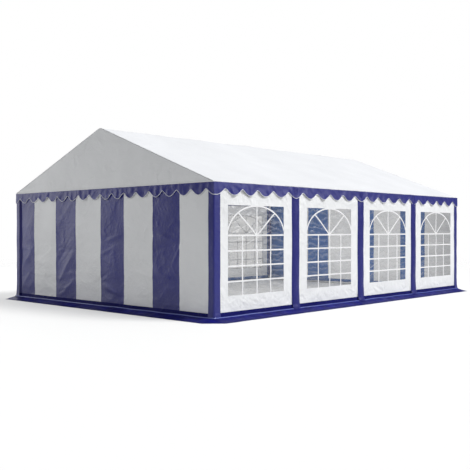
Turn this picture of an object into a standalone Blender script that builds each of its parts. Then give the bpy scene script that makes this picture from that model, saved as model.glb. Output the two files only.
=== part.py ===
"""Party tent of four bays: a steel tube frame, a white roof, striped gable walls and side walls with windows.

The tent is 8 m long along X and 5.7 m wide along Y. The origin is on the ground, in the middle of the plan.
The wall that faces -Y is the front, and the gable that faces -X is the west gable.
"""

import math

import bmesh
import bpy
from mathutils import Matrix, Vector

# Driving dimensions in metres
LENGTH = 8.0
WIDTH = 5.7
EAVE_HEIGHT = 2.14
RIDGE_HEIGHT = 3.22
BAYS = 4
SHEET = 0.003
FILM = 0.0015
GAP = 0.0005

# Layers of the walls, as the depth of each one's outer face behind the valance's outer face
COVER_DEPTH = 0.0045
PANEL_DEPTH = 0.0090
FILM_DEPTH = 0.0130
FRAME_DEPTH = 0.0210

# Valance: a hanging strip with a scalloped lower edge
VALANCE_LOW = 0.195
VALANCE_HIGH = 0.10
SCALLOPS_LONG = 20
SCALLOPS_GABLE = 17
SCALLOP_STEPS = 8
SCALLOP_POINT = 0.5
GABLE_VALANCE_DROP = 0.004

# Window panels of the long walls
PANEL_BOTTOM = 0.125
PANEL_TOP = 2.12
PANEL_JOINT = 0.010
WINDOW_WIDTH = 1.36
WINDOW_SILL = 0.375
WINDOW_HEAD = 1.79
FILM_LAP = 0.03

# Striped gable walls
WHITE_STRIPE = 0.755
BLUE_STRIPE = 0.66
STRIPES_A_HALF = 4
GABLE_BAND_TOP = 0.12
HEM_BOTTOM = 2.07

# Blue strips that cover the posts
POST_COVER_WIDTH = 0.205
CORNER_COVER_LONG_SIDE = 0.14
CORNER_COVER_GABLE_SIDE = 0.12

# Ground flaps, which slope from a crease over the ground bars to the ground
CREASE_HEIGHT = 0.045
FLAP_REACH = 0.25

# Steel frame
TUBE_RADIUS = 0.025
SLEEVE_RADIUS = 0.029
RAIL_RADIUS = 0.019
TUBE_RESOLUTION = 2
SLEEVE_REACH = 0.16
SLEEVE_SHOULDER = 0.002
ELBOW = 0.06
ELBOW_STEPS = 4
GROUND_BAR_RADIUS = 0.021
FOOT_PLATE = (0.14, 0.09, 0.006)
PLATE_GRIP = 0.004
PLATE_OUT = 0.022
PLATE_END = 0.045
END_PORTAL_INSET = 0.050

HALF_LENGTH = LENGTH / 2
HALF_WIDTH = WIDTH / 2
BAY = LENGTH / BAYS
SLOPE = (RIDGE_HEIGHT - EAVE_HEIGHT) / HALF_WIDTH
SLOPE_ANGLE = math.atan(SLOPE)
SHEET_ALONG_Z = SHEET / math.cos(SLOPE_ANGLE)

# Outer faces of the walls under the valance, and the flaps' edges in plan
WALL_X = HALF_LENGTH - PANEL_DEPTH
WALL_Y = HALF_WIDTH - PANEL_DEPTH
FLAP_IN_X = WALL_X - SHEET / 2
FLAP_IN_Y = WALL_Y - SHEET / 2
FLAP_OUT_X = HALF_LENGTH + FLAP_REACH
FLAP_OUT_Y = HALF_WIDTH + FLAP_REACH
ABOVE_FLAP = CREASE_HEIGHT + GAP
VALANCE_TOP = EAVE_HEIGHT - SHEET_ALONG_Z - GABLE_VALANCE_DROP

# Centre lines of the frame
POST_Y = HALF_WIDTH - FRAME_DEPTH - SLEEVE_RADIUS
APEX_Z = RIDGE_HEIGHT - SHEET_ALONG_Z - (SLEEVE_RADIUS + GAP) / math.cos(SLOPE_ANGLE)
KNEE_Z = APEX_Z - POST_Y * SLOPE
POST_FOOT = FOOT_PLATE[2] + 2 * GROUND_BAR_RADIUS + GAP

COLOURS = {
    "roof_white": ((0.86, 0.87, 0.89), 0.45, 0.0),
    "wall_white": ((0.84, 0.85, 0.86), 0.50, 0.0),
    "wall_blue": ((0.050, 0.055, 0.260), 0.42, 0.0),
    "clear_film": ((0.80, 0.86, 0.88), 0.12, 0.0),
    "galvanised_steel": ((0.60, 0.61, 0.62), 0.38, 0.9),
}


def clear_scene():
    for thing in list(bpy.data.objects):
        bpy.data.objects.remove(thing, do_unlink=True)


def new_collection(name):
    collection = bpy.data.collections.new(name)
    bpy.context.scene.collection.children.link(collection)
    return collection


def make_materials():
    made = {}
    for name, (colour, roughness, metallic) in COLOURS.items():
        material = bpy.data.materials.new(name)
        material.use_nodes = True
        shader = material.node_tree.nodes["Principled BSDF"]
        shader.inputs["Base Color"].default_value = (*colour, 1.0)
        shader.inputs["Roughness"].default_value = roughness
        shader.inputs["Metallic"].default_value = metallic
        made[name] = material
    return made


clear_scene()
TENT = new_collection("party_tent")
MATERIALS = make_materials()

# Planes in which a flat outline (u, v) can lie, each as the matrix from (u, v, depth) to the tent's axes
ON_GROUND = Matrix.Identity(4)
LONG_WALL = Matrix(((1, 0, 0, 0), (0, 0, -1, 0), (0, 1, 0, 0), (0, 0, 0, 1)))
GABLE_WALL = Matrix(((0, 0, 1, 0), (1, 0, 0, 0), (0, 1, 0, 0), (0, 0, 0, 1)))


def flat_outline(name, loops, thickness, plane, offset, material):
    """A flat sheet about a plane moved by offset, inside closed outlines of which the inner ones are holes."""
    curve = bpy.data.curves.new(name, "CURVE")
    curve.dimensions = "2D"
    curve.fill_mode = "BOTH"
    curve.extrude = thickness / 2
    for loop in loops:
        spline = curve.splines.new("POLY")
        spline.points.add(len(loop) - 1)
        for point, (u, v) in zip(spline.points, loop):
            point.co = (u, v, 0.0, 1.0)
        spline.use_cyclic_u = True
    sheet = bpy.data.objects.new(name, curve)
    sheet.matrix_world = Matrix.Translation(offset) @ plane
    curve.materials.append(MATERIALS[material])
    TENT.objects.link(sheet)
    return sheet


def tube(name, path, radius, swellings=None):
    """A round bar through the points of its path. Its swellings are factors on its radius, one a point."""
    curve = bpy.data.curves.new(name, "CURVE")
    curve.dimensions = "3D"
    curve.bevel_depth = radius
    curve.bevel_resolution = TUBE_RESOLUTION
    curve.use_fill_caps = True
    spline = curve.splines.new("POLY")
    spline.points.add(len(path) - 1)
    for point, place in zip(spline.points, path):
        point.co = (*place, 1.0)
    for point, swelling in zip(spline.points, swellings or []):
        point.radius = swelling
    bar = bpy.data.objects.new(name, curve)
    curve.materials.append(MATERIALS["galvanised_steel"])
    TENT.objects.link(bar)
    return bar


def as_mesh(thing):
    """The same shape as a mesh with its caps welded, in place of the curve."""
    bpy.context.view_layer.update()
    graph = bpy.context.evaluated_depsgraph_get()
    mesh = bpy.data.meshes.new_from_object(thing.evaluated_get(graph))
    work = bmesh.new()
    work.from_mesh(mesh)
    bmesh.ops.remove_doubles(work, verts=work.verts, dist=0.00001)
    work.to_mesh(mesh)
    work.free()
    name = thing.name
    place = thing.matrix_world.copy()
    bpy.data.objects.remove(thing, do_unlink=True)
    solid = bpy.data.objects.new(name, mesh)
    solid.matrix_world = place
    TENT.objects.link(solid)
    return solid


def box(name, low, high, material):
    """A box between two corners."""
    mesh = bpy.data.meshes.new(name)
    work = bmesh.new()
    bmesh.ops.create_cube(work, size=1.0)
    size = [b - a for a, b in zip(low, high)]
    bmesh.ops.scale(work, vec=size, verts=work.verts)
    bmesh.ops.translate(work, vec=[(a + b) / 2 for a, b in zip(low, high)], verts=work.verts)
    work.to_mesh(mesh)
    work.free()
    mesh.materials.append(MATERIALS[material])
    solid = bpy.data.objects.new(name, mesh)
    TENT.objects.link(solid)
    return solid


def joined(main, *others):
    """Main fused with the others by Boolean unions, which are applied."""
    for other in others:
        union = main.modifiers.new("union", "BOOLEAN")
        union.operation = "UNION"
        union.object = other
    bpy.context.view_layer.update()
    graph = bpy.context.evaluated_depsgraph_get()
    mesh = bpy.data.meshes.new_from_object(main.evaluated_get(graph))
    main.modifiers.clear()
    main.data = mesh
    for other in others:
        bpy.data.objects.remove(other, do_unlink=True)
    return main


def portal_positions():
    """Where the frame's portals stand along X, the end ones drawn in behind the gable walls."""
    ends = HALF_LENGTH - END_PORTAL_INSET
    return [max(-ends, min(ends, -HALF_LENGTH + BAY * i)) for i in range(BAYS + 1)]


def bend(before, corner, after):
    """Points along a smooth turn at a corner, which starts and ends ELBOW short of it."""
    start = corner + (before - corner).normalized() * ELBOW
    end = corner + (after - corner).normalized() * ELBOW
    turn = []
    for i in range(ELBOW_STEPS + 1):
        t = i / ELBOW_STEPS
        turn.append(start * (1 - t) ** 2 + corner * 2 * t * (1 - t) + end * t ** 2)
    return turn


def portal(number, x):
    """Two posts and two rafters of round tube, thicker at the sleeves on the feet, knees and ridge."""
    foot = Vector((x, -POST_Y, POST_FOOT))
    knee = Vector((x, -POST_Y, KNEE_Z))
    apex = Vector((x, 0, APEX_Z))
    knee_across = Vector((x, POST_Y, KNEE_Z))
    up = (knee - foot).normalized()
    along = (apex - knee).normalized()
    sleeve = SLEEVE_RADIUS / TUBE_RADIUS
    past_sleeve = SLEEVE_REACH + SLEEVE_SHOULDER
    crown = bend(knee, apex, knee_across)[:ELBOW_STEPS // 2 + 1]
    stretches = [
        ([foot, foot + up * SLEEVE_REACH], sleeve),
        ([foot + up * past_sleeve, knee - up * past_sleeve], 1),
        ([knee - up * SLEEVE_REACH, *bend(foot, knee, apex), knee + along * SLEEVE_REACH], sleeve),
        ([knee + along * past_sleeve, apex - along * past_sleeve], 1),
        ([apex - along * SLEEVE_REACH, *crown], sleeve),
    ]
    path = [place for run, _ in stretches for place in run]
    swellings = [swelling for run, swelling in stretches for _ in run]
    path += [Vector((place.x, -place.y, place.z)) for place in path[-2::-1]]
    swellings += swellings[-2::-1]
    tube(f"frame_portal_{number}", path, TUBE_RADIUS, swellings)


def rails():
    """Three tubes along the tent that tie the portals together, inside their knees and under their ridges."""
    beside = SLEEVE_RADIUS + RAIL_RADIUS + GAP
    half_turn = (math.pi / 2 - SLOPE_ANGLE) / 2
    from_knee = beside + ELBOW * math.sin(half_turn) / 2
    under_ridge = beside + ELBOW * math.sin(SLOPE_ANGLE) / 2
    end = HALF_LENGTH - END_PORTAL_INSET + TUBE_RADIUS
    eave_z = KNEE_Z - from_knee * math.sin(half_turn)
    for name, side in (("front", -1), ("back", 1)):
        y = side * (POST_Y - from_knee * math.cos(half_turn))
        tube(f"eave_rail_{name}", [(-end, y, eave_z), (end, y, eave_z)], RAIL_RADIUS)
    ridge_z = APEX_Z - under_ridge
    tube("ridge_rail", [(-end, 0, ridge_z), (end, 0, ridge_z)], RAIL_RADIUS)


def ground_bars():
    """A ring of four bars on the ground, the long ones with a foot plate under each post."""
    long, deep, thick = FOOT_PLATE
    centre = thick + GROUND_BAR_RADIUS
    end_x = HALF_LENGTH - END_PORTAL_INSET
    reach = end_x + GROUND_BAR_RADIUS
    for name, side in (("front", -1), ("back", 1)):
        y = side * POST_Y
        bar = tube(f"ground_bar_{name}", [(-reach, y, centre), (reach, y, centre)], GROUND_BAR_RADIUS)
        edges = sorted((side * (POST_Y + PLATE_OUT), side * (POST_Y + PLATE_OUT - deep)))
        plates = []
        for x in portal_positions():
            middle = max(PLATE_END - end_x, min(end_x - PLATE_END, x))
            low = (middle - long / 2, edges[0], 0)
            high = (middle + long / 2, edges[1], thick + PLATE_GRIP)
            plates.append(box("foot_plate", low, high, "galvanised_steel"))
        joined(as_mesh(bar), *plates)
    reach = POST_Y - SLEEVE_RADIUS - GAP
    centre += PLATE_GRIP + GAP
    for name, side in (("west", -1), ("east", 1)):
        x = side * end_x
        tube(f"ground_bar_{name}", [(x, -reach, centre), (x, reach, centre)], GROUND_BAR_RADIUS)


def roof():
    """Two sloping sheets that meet along the ridge."""
    for name, side in (("front", -1), ("back", 1)):
        section = [
            (side * GAP, RIDGE_HEIGHT - GAP * SLOPE),
            (side * HALF_WIDTH, EAVE_HEIGHT),
            (side * HALF_WIDTH, EAVE_HEIGHT - SHEET_ALONG_Z),
            (side * GAP, RIDGE_HEIGHT - GAP * SLOPE - SHEET_ALONG_Z),
        ]
        flat_outline(f"roof_slope_{name}", [section], LENGTH, GABLE_WALL, (0, 0, 0), "roof_white")


def gable_triangles():
    """The white triangle above each gable wall, under the ends of the roof."""
    inside = HALF_WIDTH - SHEET - GAP
    under_roof = RIDGE_HEIGHT - SHEET_ALONG_Z - GAP
    outline = [
        (-inside, VALANCE_TOP),
        (inside, VALANCE_TOP),
        (inside, under_roof - inside * SLOPE),
        (0, under_roof),
        (-inside, under_roof - inside * SLOPE),
    ]
    for name, side in (("west", -1), ("east", 1)):
        offset = (side * (HALF_LENGTH - SHEET / 2), 0, 0)
        flat_outline(f"gable_triangle_{name}", [outline], SHEET, GABLE_WALL, offset, "wall_white")


def scalloped(half, waves, top):
    """The outline of a valance: a straight top edge over scallops, rounded below and pointed above.

    Low points come at both ends and at the posts.
    """
    steps = waves * SCALLOP_STEPS
    edge = []
    for i in range(steps + 1):
        swing = abs(math.cos(math.pi * i / SCALLOP_STEPS))
        shape = SCALLOP_POINT * swing + (1 - SCALLOP_POINT) * swing * swing
        depth = VALANCE_HIGH + (VALANCE_LOW - VALANCE_HIGH) * shape
        edge.append((-half + 2 * half * i / steps, EAVE_HEIGHT - depth))
    return [*edge, (half, top), (-half, top)]


def valances():
    middle = SHEET / 2
    for name, side in (("front", -1), ("back", 1)):
        outline = scalloped(HALF_LENGTH, SCALLOPS_LONG, EAVE_HEIGHT - SHEET_ALONG_Z - GAP)
        offset = (0, side * (HALF_WIDTH - middle), 0)
        flat_outline(f"valance_{name}", [outline], SHEET, LONG_WALL, offset, "wall_blue")
    for name, side in (("west", -1), ("east", 1)):
        outline = scalloped(HALF_WIDTH - SHEET - GAP, SCALLOPS_GABLE, VALANCE_TOP - GAP)
        offset = (side * (HALF_LENGTH - middle), 0, 0)
        flat_outline(f"valance_{name}", [outline], SHEET, GABLE_WALL, offset, "wall_blue")


def rectangle(left, right, bottom, top):
    return [(left, bottom), (right, bottom), (right, top), (left, top)]


def side_walls():
    """Four white window panels on each long side, and the clear film that closes their windows."""
    end = WALL_X - 2 * SHEET
    for name, side in (("front", -1), ("back", 1)):
        y = side * (WALL_Y - SHEET / 2)
        for bay in range(BAYS):
            left = max(-end, -HALF_LENGTH + BAY * bay + PANEL_JOINT / 2)
            right = min(end, -HALF_LENGTH + BAY * (bay + 1) - PANEL_JOINT / 2)
            middle = -HALF_LENGTH + BAY * (bay + 0.5)
            panel = rectangle(left, right, PANEL_BOTTOM, PANEL_TOP)
            edges = (middle - WINDOW_WIDTH / 2, middle + WINDOW_WIDTH / 2)
            window = rectangle(*edges, WINDOW_SILL, WINDOW_HEAD)
            node = f"window_panel_{name}_{bay + 1}"
            flat_outline(node, [panel, window], SHEET, LONG_WALL, (0, y, 0), "wall_white")
        film_end = HALF_LENGTH - BAY / 2 + WINDOW_WIDTH / 2 + FILM_LAP
        film = rectangle(-film_end, film_end, WINDOW_SILL - FILM_LAP, WINDOW_HEAD + FILM_LAP)
        y = side * (HALF_WIDTH - FILM_DEPTH - FILM / 2)
        flat_outline(f"window_film_{name}", [film], FILM, LONG_WALL, (0, y, 0), "clear_film")


def toothed(strips, span, bar_edge, teeth_edge, tip):
    """The outline of upright strips on a bar.

    The bar runs from bar_edge to teeth_edge, and the strips go on from there to tip.
    strips has the left and right edge of each strip, in order, and span has the bar's.
    """
    outline = [(span[1], bar_edge), (span[0], bar_edge)]
    gap_start = span[0]
    for left, right in strips:
        if left > gap_start:
            outline += [(gap_start, teeth_edge), (left, teeth_edge)]
        outline += [(left, tip), (right, tip)]
        gap_start = right
    if span[1] > gap_start:
        outline += [(gap_start, teeth_edge), (span[1], teeth_edge)]
    return outline


def gable_walls():
    """Each gable wall is two striped halves: blue strips on a bottom band, and white strips on a top hem.

    From the back to the front, both walls' strips run blue, white, blue, white in each half.
    """
    cuts = [WALL_Y, 2 * WHITE_STRIPE + BLUE_STRIPE, WHITE_STRIPE + BLUE_STRIPE, WHITE_STRIPE, 0]
    cuts += [-BLUE_STRIPE, -BLUE_STRIPE - WHITE_STRIPE, -2 * BLUE_STRIPE - WHITE_STRIPE, -WALL_Y]
    depth = WALL_X - SHEET / 2
    for gable, facing in (("west", -1), ("east", 1)):
        for half, first in (("back", 0), ("front", STRIPES_A_HALF)):
            numbers = reversed(range(first, first + STRIPES_A_HALF))
            strips = [(cuts[i + 1] + GAP / 2, cuts[i] - GAP / 2) for i in numbers]
            span = (strips[0][0], strips[-1][1])
            white = toothed(strips[0::2], span, PANEL_TOP, HEM_BOTTOM, GABLE_BAND_TOP + GAP)
            blue = toothed(strips[1::2], span, ABOVE_FLAP, GABLE_BAND_TOP, HEM_BOTTOM - GAP)
            for colour, outline in (("blue", blue), ("white", white)):
                node = f"gable_wall_{gable}_{half}_{colour}"
                offset = (facing * depth, 0, 0)
                flat_outline(node, [outline], SHEET, GABLE_WALL, offset, f"wall_{colour}")


def post_covers():
    """A blue strip over each joint between window panels, from the ground flap up behind the valance."""
    for name, side in (("front", -1), ("back", 1)):
        y = side * (HALF_WIDTH - COVER_DEPTH - SHEET / 2)
        for i in range(1, BAYS):
            x = -HALF_LENGTH + BAY * i
            strip = rectangle(x - POST_COVER_WIDTH / 2, x + POST_COVER_WIDTH / 2, ABOVE_FLAP, PANEL_TOP)
            flat_outline(f"post_cover_{name}_{i}", [strip], SHEET, LONG_WALL, (0, y, 0), "wall_blue")


def corner_covers():
    """A blue strip folded round each corner post."""
    x_out, y_out = HALF_LENGTH - COVER_DEPTH, HALF_WIDTH - COVER_DEPTH
    x_end, y_end = HALF_LENGTH - CORNER_COVER_LONG_SIDE, HALF_WIDTH - CORNER_COVER_GABLE_SIDE
    plan = [
        (x_out, y_out),
        (x_end, y_out),
        (x_end, y_out - SHEET),
        (x_out - SHEET, y_out - SHEET),
        (x_out - SHEET, y_end),
        (x_out, y_end),
    ]
    height = PANEL_TOP - ABOVE_FLAP
    for y_name, y_side in (("front", -1), ("back", 1)):
        for x_name, x_side in (("west", -1), ("east", 1)):
            outline = [(x * x_side, y * y_side) for x, y in plan]
            node = f"corner_cover_{y_name}_{x_name}"
            offset = (0, 0, ABOVE_FLAP + height / 2)
            flat_outline(node, [outline], height, ON_GROUND, offset, "wall_blue")


def sloping(flap):
    """The flat flap with its outer edge let down to the ground, its crease staying at CREASE_HEIGHT."""
    reach = FLAP_OUT_X - FLAP_IN_X
    for vertex in flap.data.vertices:
        place = flap.matrix_world @ vertex.co
        outwards = max(abs(place.x) - FLAP_IN_X, abs(place.y) - FLAP_IN_Y)
        vertex.co.z -= (CREASE_HEIGHT - SHEET) * max(0.0, min(1.0, outwards / reach))
    return flap


def wall_bands():
    """A blue band along the foot of each long wall, between the window panels and the ground flap."""
    end = WALL_X - SHEET - GAP
    for name, side in (("front", -1), ("back", 1)):
        y = side * (WALL_Y - SHEET / 2)
        band = rectangle(-end, end, ABOVE_FLAP, PANEL_BOTTOM - GAP)
        flat_outline(f"wall_band_{name}", [band], SHEET, LONG_WALL, (0, y, 0), "wall_blue")


def ground_skirts():
    """Blue flaps round the foot of the walls. The long walls' flaps turn the corners, cut across."""
    level = (0, 0, CREASE_HEIGHT - SHEET / 2)
    for name, side in (("front", -1), ("back", 1)):
        outline = [
            (-FLAP_OUT_X, side * WALL_Y),
            (-FLAP_IN_X, side * FLAP_IN_Y),
            (FLAP_IN_X, side * FLAP_IN_Y),
            (FLAP_OUT_X, side * WALL_Y),
            (FLAP_IN_X, side * FLAP_OUT_Y),
            (-FLAP_IN_X, side * FLAP_OUT_Y),
        ]
        flap = flat_outline(f"ground_skirt_{name}", [outline], SHEET, ON_GROUND, level, "wall_blue")
        sloping(as_mesh(flap))
    for name, side in (("west", -1), ("east", 1)):
        inner, outer = sorted((side * FLAP_IN_X, side * FLAP_OUT_X))
        outline = rectangle(inner, outer, GAP - FLAP_IN_Y, FLAP_IN_Y - GAP)
        flap = flat_outline(f"ground_skirt_{name}", [outline], SHEET, ON_GROUND, level, "wall_blue")
        sloping(as_mesh(flap))


def build():
    for number, x in enumerate(portal_positions(), start=1):
        portal(number, x)
    rails()
    ground_bars()
    roof()
    gable_triangles()
    valances()
    side_walls()
    gable_walls()
    post_covers()
    corner_covers()
    wall_bands()
    ground_skirts()


build()
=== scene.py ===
"""The finish of the party tent: coated fabric with its folds and seams, clear windows, and the steel frame."""

import math

import bmesh
import bpy
import numpy as np
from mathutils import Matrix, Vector


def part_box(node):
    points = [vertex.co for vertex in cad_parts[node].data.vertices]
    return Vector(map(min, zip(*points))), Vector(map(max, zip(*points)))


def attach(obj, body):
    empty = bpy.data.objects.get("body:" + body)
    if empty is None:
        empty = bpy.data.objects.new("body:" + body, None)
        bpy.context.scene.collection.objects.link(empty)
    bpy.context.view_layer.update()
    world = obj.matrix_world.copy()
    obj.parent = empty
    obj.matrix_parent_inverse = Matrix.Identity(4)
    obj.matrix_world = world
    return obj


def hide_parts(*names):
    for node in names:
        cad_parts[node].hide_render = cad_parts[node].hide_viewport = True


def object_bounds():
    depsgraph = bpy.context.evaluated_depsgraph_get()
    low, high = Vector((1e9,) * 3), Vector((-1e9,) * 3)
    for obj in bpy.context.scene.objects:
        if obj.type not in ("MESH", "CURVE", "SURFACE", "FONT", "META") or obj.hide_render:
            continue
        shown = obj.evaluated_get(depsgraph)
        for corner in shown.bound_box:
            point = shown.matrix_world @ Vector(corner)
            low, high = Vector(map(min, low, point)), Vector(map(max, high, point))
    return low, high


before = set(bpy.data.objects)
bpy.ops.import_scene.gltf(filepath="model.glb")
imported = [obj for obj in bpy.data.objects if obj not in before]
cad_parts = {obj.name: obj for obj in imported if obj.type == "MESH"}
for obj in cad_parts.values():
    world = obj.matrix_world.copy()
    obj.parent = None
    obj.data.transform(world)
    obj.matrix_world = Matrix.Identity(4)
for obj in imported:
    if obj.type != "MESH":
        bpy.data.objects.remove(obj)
CAD_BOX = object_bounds()

# Main sizes, from the frame
roof_low, roof_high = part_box("roof_slope_front")
HALF_LENGTH = roof_high.x
HALF_WIDTH = -roof_low.y
RIDGE_Z = roof_high.z
EAVE_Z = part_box("valance_front")[1].z + 0.003
SLOPE = (RIDGE_Z - EAVE_Z) / HALF_WIDTH
FLAP_X, FLAP_Y = CAD_BOX[1].x, CAD_BOX[1].y
CREASE_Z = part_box("ground_skirt_front")[1].z
PANEL_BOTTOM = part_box("window_panel_front_2")[0].z
PANEL_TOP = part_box("window_panel_front_2")[1].z
HUNG_TOP = PANEL_TOP - 0.065
WALL_OUT = -0.009
BAYS = 4
BAY = 2 * HALF_LENGTH / BAYS

# Windows, measured in the photograph and shared with the part's source
WINDOW_WIDTH = 1.36
WINDOW_SILL = 0.375
WINDOW_HEAD = 1.79
SPRING_Z = 1.315
CROSS_BARS = (1.075, 0.835, 0.595)
SIDE_BAR = 0.345
ARCH_HALF_WIDTH = 0.69
ARCH_HEIGHT = 0.472
RAY_END = (0.437, 0.354)
BAR_WIDTH = 0.025

# Striped gable walls, as the distances from the middle seam at which the stripes change
WHITE_STRIPE = 0.755
BLUE_STRIPE = 0.66
GABLE_BAND_TOP = 0.12
HEM_BOTTOM = 2.07
EAST_SHIFT = 0.05

# Valance
VALANCE_LOW = 0.195
VALANCE_HIGH = 0.10
SCALLOPS = {"front": 20, "back": 20, "west": 17, "east": 17}
CORNER_LOBE = {"front": 0.055, "back": 0.055, "west": 0.0, "east": 0.0}
PEAK_ROUNDING = 0.18
PIPING_RADIUS = 0.0045

# Covers over the posts
POST_COVER_WIDTH = 0.205
CORNER_LONG_SIDE = 0.14
CORNER_GABLE_SIDE = 0.12
CORNER_RADIUS = 0.024
PANEL_END = 0.118
# Share of a flap's width beyond which its outer edge is painted darker, as a painted shade under that edge
FLAP_SHADED_EDGE = 0.7
BEAD_BEND = 0.03

CLOTH = 0.0012

# The corner posts, round which a sleeve of the same cloth as their covers is wrapped
POST_RADIUS = 0.029
SLEEVE_RADIUS = 0.0315
SLEEVE_BOTTOM = 0.10
SLEEVE_TOP = 1.98

WALLS = {
    "front": {"along": (1, 0), "out": (0, -1), "half": HALF_LENGTH, "depth": HALF_WIDTH},
    "back": {"along": (-1, 0), "out": (0, 1), "half": HALF_LENGTH, "depth": HALF_WIDTH},
    "west": {"along": (0, -1), "out": (-1, 0), "half": HALF_WIDTH, "depth": HALF_LENGTH},
    "east": {"along": (0, 1), "out": (1, 0), "half": HALF_WIDTH, "depth": HALF_LENGTH},
}


def on_wall(wall, a, z, out):
    """The place a along a wall, from left to right as seen from outside, at height z and out from the roof's edge."""
    side = WALLS[wall]
    reach = side["depth"] + out
    x = side["along"][0] * a + side["out"][0] * reach
    y = side["along"][1] * a + side["out"][1] * reach
    return x + 0 * z, y + 0 * z, z + 0 * a


# Materials

def node(tree, kind, **values):
    made = tree.nodes.new(kind)
    for name, value in values.items():
        setattr(made, name, value)
    return made


def bump_layer(tree, height, strength, distance, below=None):
    """A bump node over the one below it."""
    layer = node(tree, "ShaderNodeBump")
    layer.inputs["Strength"].default_value = strength
    layer.inputs["Distance"].default_value = distance
    tree.links.new(height, layer.inputs["Height"])
    if below:
        tree.links.new(below, layer.inputs["Normal"])
    return layer.outputs["Normal"]


def creases(tree, place, scale, detail=3.0, distortion=0.4):
    """The height of sharp crossing creases, as in stiff sheet that has been folded."""
    texture = node(tree, "ShaderNodeTexNoise", noise_dimensions="3D", noise_type="RIDGED_MULTIFRACTAL")
    texture.inputs["Scale"].default_value = scale
    texture.inputs["Detail"].default_value = detail
    texture.inputs["Distortion"].default_value = distortion
    texture.inputs["Offset"].default_value = 1.0
    texture.inputs["Gain"].default_value = 1.2
    tree.links.new(place, texture.inputs["Vector"])
    return texture.outputs["Fac"]


def threads(tree, place, direction, pitch):
    """Fine parallel ridges at right angles to a direction, as of the threads under a coating."""
    along = node(tree, "ShaderNodeVectorMath", operation="DOT_PRODUCT")
    along.inputs[1].default_value = direction
    tree.links.new(place, along.inputs[0])
    turns = node(tree, "ShaderNodeMath", operation="MULTIPLY")
    turns.inputs[1].default_value = 2 * math.pi / pitch
    tree.links.new(along.outputs["Value"], turns.inputs[0])
    wave = node(tree, "ShaderNodeMath", operation="SINE")
    tree.links.new(turns.outputs[0], wave.inputs[0])
    return wave.outputs[0]


def new_material(name):
    made = bpy.data.materials.new(name)
    made.use_nodes = True
    tree = made.node_tree
    place = node(tree, "ShaderNodeTexCoord").outputs["Object"]
    return made, tree, tree.nodes["Principled BSDF"], place


def mottled(tree, place, shader, colour, spread, scale):
    """The colour with slow changes of shade, spread to both sides of it."""
    texture = node(tree, "ShaderNodeTexNoise")
    texture.inputs["Scale"].default_value = scale
    texture.inputs["Detail"].default_value = 4.0
    tree.links.new(place, texture.inputs["Vector"])
    ramp = node(tree, "ShaderNodeValToRGB")
    low, high = ramp.color_ramp.elements
    low.position, high.position = 0.3, 0.7
    low.color = (*[c * (1 - spread) for c in colour], 1.0)
    high.color = (*[min(1.0, c * (1 + spread)) for c in colour], 1.0)
    tree.links.new(texture.outputs["Fac"], ramp.inputs["Fac"])
    tree.links.new(ramp.outputs["Color"], shader.inputs["Base Color"])


def coated_fabric(name, colour, roughness, crumple, thread_ways, spread=0.03, gloss=0.5, patches=1.3):
    """Woven fabric under a smooth coating: creases of two sizes over a fine grid of threads."""
    made, tree, shader, place = new_material(name)
    mottled(tree, place, shader, colour, spread, patches)
    shader.inputs["Roughness"].default_value = roughness
    shader.inputs["Specular IOR Level"].default_value = gloss
    normal = bump_layer(tree, creases(tree, place, 3.1), 0.35 * crumple, 0.012)
    normal = bump_layer(tree, creases(tree, place, 11.0, 4.0, 0.8), 0.30 * crumple, 0.004, normal)
    for way in thread_ways:
        normal = bump_layer(tree, threads(tree, place, way, 0.0035), 0.10, 0.0003, normal)
    tree.links.new(normal, shader.inputs["Normal"])
    return made


def grey_ramp(tree, height, start, end, low, high):
    """The height between start and end, spread from low to high."""
    ramp = node(tree, "ShaderNodeMapRange")
    for name, value in (("From Min", start), ("From Max", end), ("To Min", low), ("To Max", high)):
        ramp.inputs[name].default_value = value
    tree.links.new(height, ramp.inputs["Value"])
    return ramp.outputs["Result"]


def combined(tree, operation, first, second):
    both = node(tree, "ShaderNodeMath", operation=operation)
    tree.links.new(first, both.inputs[0])
    tree.links.new(second, both.inputs[1])
    return both.outputs[0]


def wave_lines(tree, place, direction, values):
    waves = node(tree, "ShaderNodeTexWave", bands_direction=direction)
    for name, value in values.items():
        waves.inputs[name].default_value = value
    tree.links.new(place, waves.inputs["Vector"])
    return waves.outputs["Fac"]


def film_streaks(tree, place):
    """Strength of the few straight pale creases that cross the film in patches."""
    turned = node(tree, "ShaderNodeVectorRotate", rotation_type="EULER_XYZ")
    turned.inputs["Rotation"].default_value = (0.0, STREAK_SLOPE, STREAK_SLOPE)
    tree.links.new(place, turned.inputs["Vector"])
    lines = wave_lines(tree, turned.outputs["Vector"], "Z", {"Scale": 2.2, "Distortion": 1.2, "Detail": 1.0})
    patches = node(tree, "ShaderNodeTexNoise")
    patches.inputs["Scale"].default_value = 1.1
    patches.inputs["Detail"].default_value = 1.0
    tree.links.new(place, patches.inputs["Vector"])
    there = grey_ramp(tree, patches.outputs["Fac"], 0.57, 0.68, 0.0, 1.0)
    return combined(tree, "MULTIPLY", grey_ramp(tree, lines, 0.94, 1.0, 0.0, 1.0), there)


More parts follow.
